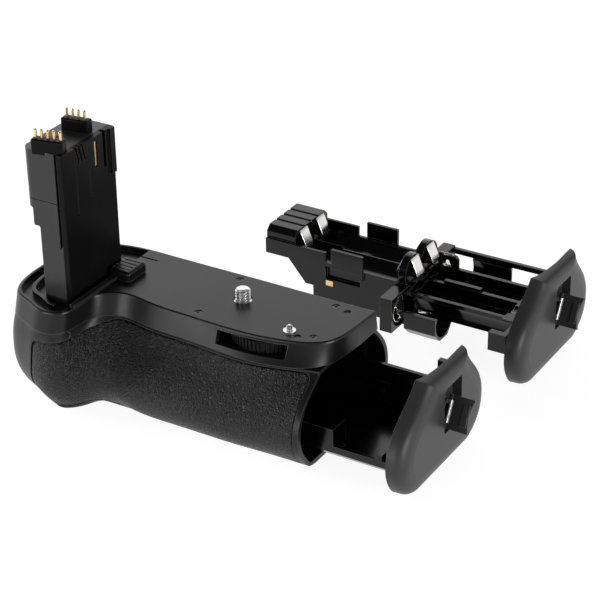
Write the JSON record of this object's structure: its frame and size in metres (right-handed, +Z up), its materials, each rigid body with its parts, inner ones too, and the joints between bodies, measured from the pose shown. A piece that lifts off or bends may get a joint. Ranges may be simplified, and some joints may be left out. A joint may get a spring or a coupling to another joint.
{
  "type": "camera battery grip",
  "caption": "Vertical battery grip for a reflex camera: battery-shaped contact tower, camera screw turned by a thumbwheel, sliding pack tray with flip-out latch, and a spare AA tray beside it.",
  "frame": {"origin": "axis of the camera screw at the level of the camera seat", "axes": "+Z up, out of the camera seat and along the camera screw; +X along the grip's length, the way the pack tray draws out; +Y to the back of the grip, away from the sculpted rubber-skinned front"},
  "size_m": [0.2053, 0.1828, 0.1242],
  "materials": {
    "grip_plastic": "fine matt texture",
    "skin_rubber": "leather grain, matt",
    "rail_rubber": "smooth, matt",
    "tower_plastic": "satin",
    "tray_plastic": "glossy black",
    "steel": "bright turned steel",
    "black_steel": "black, satin",
    "nickel": "nickel plated spring steel",
    "gold": "gold flashed"
  },
  "bodies": {
    "grip": {"grip_housing": "grip_plastic", "rubber_skin": "skin_rubber", "end_panel": "grip_plastic", "top_cover": "grip_plastic", "seat_screws": "black_steel", "tower_shell": "grip_plastic", "tower_side_plate": "tower_plastic", "tower_contact_strip": "gold", "tower_foot_rail": "rail_rubber", "front_contact_block": "tower_plastic", "rear_contact_block": "tower_plastic", "locating_pin": "steel", "thumbwheel_axle": "steel", "tripod_socket": "steel", "base_screws": "black_steel", "shutter_bezel": "grip_plastic", "dial_axle": "steel", "bay_contacts": "gold", "aa_tray": "tray_plastic", "aa_tray_cap": "grip_plastic", "aa_block_contacts": "nickel", "aa_middle_contacts": "nickel", "aa_lower_contacts": "nickel", "aa_tray_contact_strip": "gold"},
    "pack_tray": {"pack_tray": "tray_plastic", "pack_tray_contacts": "gold", "pack_tray_cap": "grip_plastic"},
    "pack_latch": {"pack_tray_latch": "tower_plastic", "pack_tray_hinge_pin": "steel"},
    "pack_lever": {"pack_tray_lever": "grip_plastic"},
    "aa_latch": {"aa_tray_latch": "tower_plastic", "aa_tray_hinge_pin": "steel"},
    "aa_lever": {"aa_tray_lever": "grip_plastic"},
    "thumbwheel": {"thumbwheel": "tower_plastic"},
    "camera_screw": {"camera_screw": "steel"},
    "shutter_button": {"shutter_button": "tray_plastic"},
    "main_dial": {"main_dial": "tower_plastic"},
    "af_start_button": {"af_start_button": "tray_plastic"},
    "ae_lock_button": {"ae_lock_button": "tray_plastic"},
    "af_point_button": {"af_point_button": "tray_plastic"},
    "power_switch": {"power_switch": "tower_plastic"},
    "front_pins": {"front_contact_pins": "gold"},
    "rear_pins": {"rear_contact_pins": "gold"}
  },
  "joints": [
    {"name": "tray_slide", "type": "slide", "parent": "grip", "child": "pack_tray", "axis": [1, 0, 0], "range_m": [-0.039, 0.07]},
    {"name": "latch_turn", "type": "hinge", "parent": "pack_tray", "child": "pack_latch", "pos_m": [0.0963, -0.0022, -0.0302], "axis": [1, 0, 0], "range_deg": [0, 30]},
    {"name": "lever_flip", "type": "hinge", "parent": "pack_latch", "child": "pack_lever", "pos_m": [0.0953, -0.0022, -0.0302], "axis": [0, 0.5, 0.866], "range_deg": [0, 90]},
    {"name": "aa_latch_turn", "type": "hinge", "parent": "grip", "child": "aa_latch", "pos_m": [0.0993, 0.0958, -0.0302], "axis": [1, 0, 0], "range_deg": [0, 30]},
    {"name": "aa_lever_flip", "type": "hinge", "parent": "aa_latch", "child": "aa_lever", "pos_m": [0.0983, 0.0958, -0.0302], "axis": [0, 0.5, 0.866], "range_deg": [0, 90]},
    {"name": "thumbwheel_turn", "type": "hinge", "parent": "grip", "child": "thumbwheel", "pos_m": [0.019, -0.0085, -0.004], "axis": [0, 0, 1], "continuous": true},
    {"name": "screw_turn", "type": "hinge", "parent": "grip", "child": "camera_screw", "pos_m": [0, 0, 0], "axis": [0, 0, 1], "continuous": true},
    {"name": "main_dial_turn", "type": "hinge", "parent": "grip", "child": "main_dial", "pos_m": [-0.088, -0.0035, -0.0192], "axis": [0, 0, 1], "continuous": true},
    {"name": "power_switch_turn", "type": "hinge", "parent": "grip", "child": "power_switch", "pos_m": [-0.026, 0.0378, -0.029], "axis": [0, -1, 0], "range_deg": [0, 60]},
    {"name": "shutter_button_press", "type": "slide", "parent": "grip", "child": "shutter_button", "axis": [1, 0, 0], "range_m": [0, 0.001], "stiffness_N_per_m": 600},
    {"name": "af_start_button_press", "type": "slide", "parent": "grip", "child": "af_start_button", "axis": [0, -1, 0], "range_m": [0, 0.0008], "stiffness_N_per_m": 500},
    {"name": "ae_lock_button_press", "type": "slide", "parent": "grip", "child": "ae_lock_button", "axis": [0, -1, 0], "range_m": [0, 0.0008], "stiffness_N_per_m": 500},
    {"name": "af_point_button_press", "type": "slide", "parent": "grip", "child": "af_point_button", "axis": [0, -1, 0], "range_m": [0, 0.0008], "stiffness_N_per_m": 500},
    {"name": "front_pins_press", "type": "slide", "parent": "grip", "child": "front_pins", "axis": [0, 0, -1], "range_m": [0, 0.0012], "stiffness_N_per_m": 800},
    {"name": "rear_pins_press", "type": "slide", "parent": "grip", "child": "rear_pins", "axis": [0, 0, -1], "range_m": [0, 0.0012], "stiffness_N_per_m": 800}
  ],
  "couplings": [
    {"joint": "lever_flip", "follows": "latch_turn", "ratio": 3},
    {"joint": "aa_lever_flip", "follows": "aa_latch_turn", "ratio": 3},
    {"joint": "screw_turn", "follows": "thumbwheel_turn", "ratio": -1.6667}
  ]
}
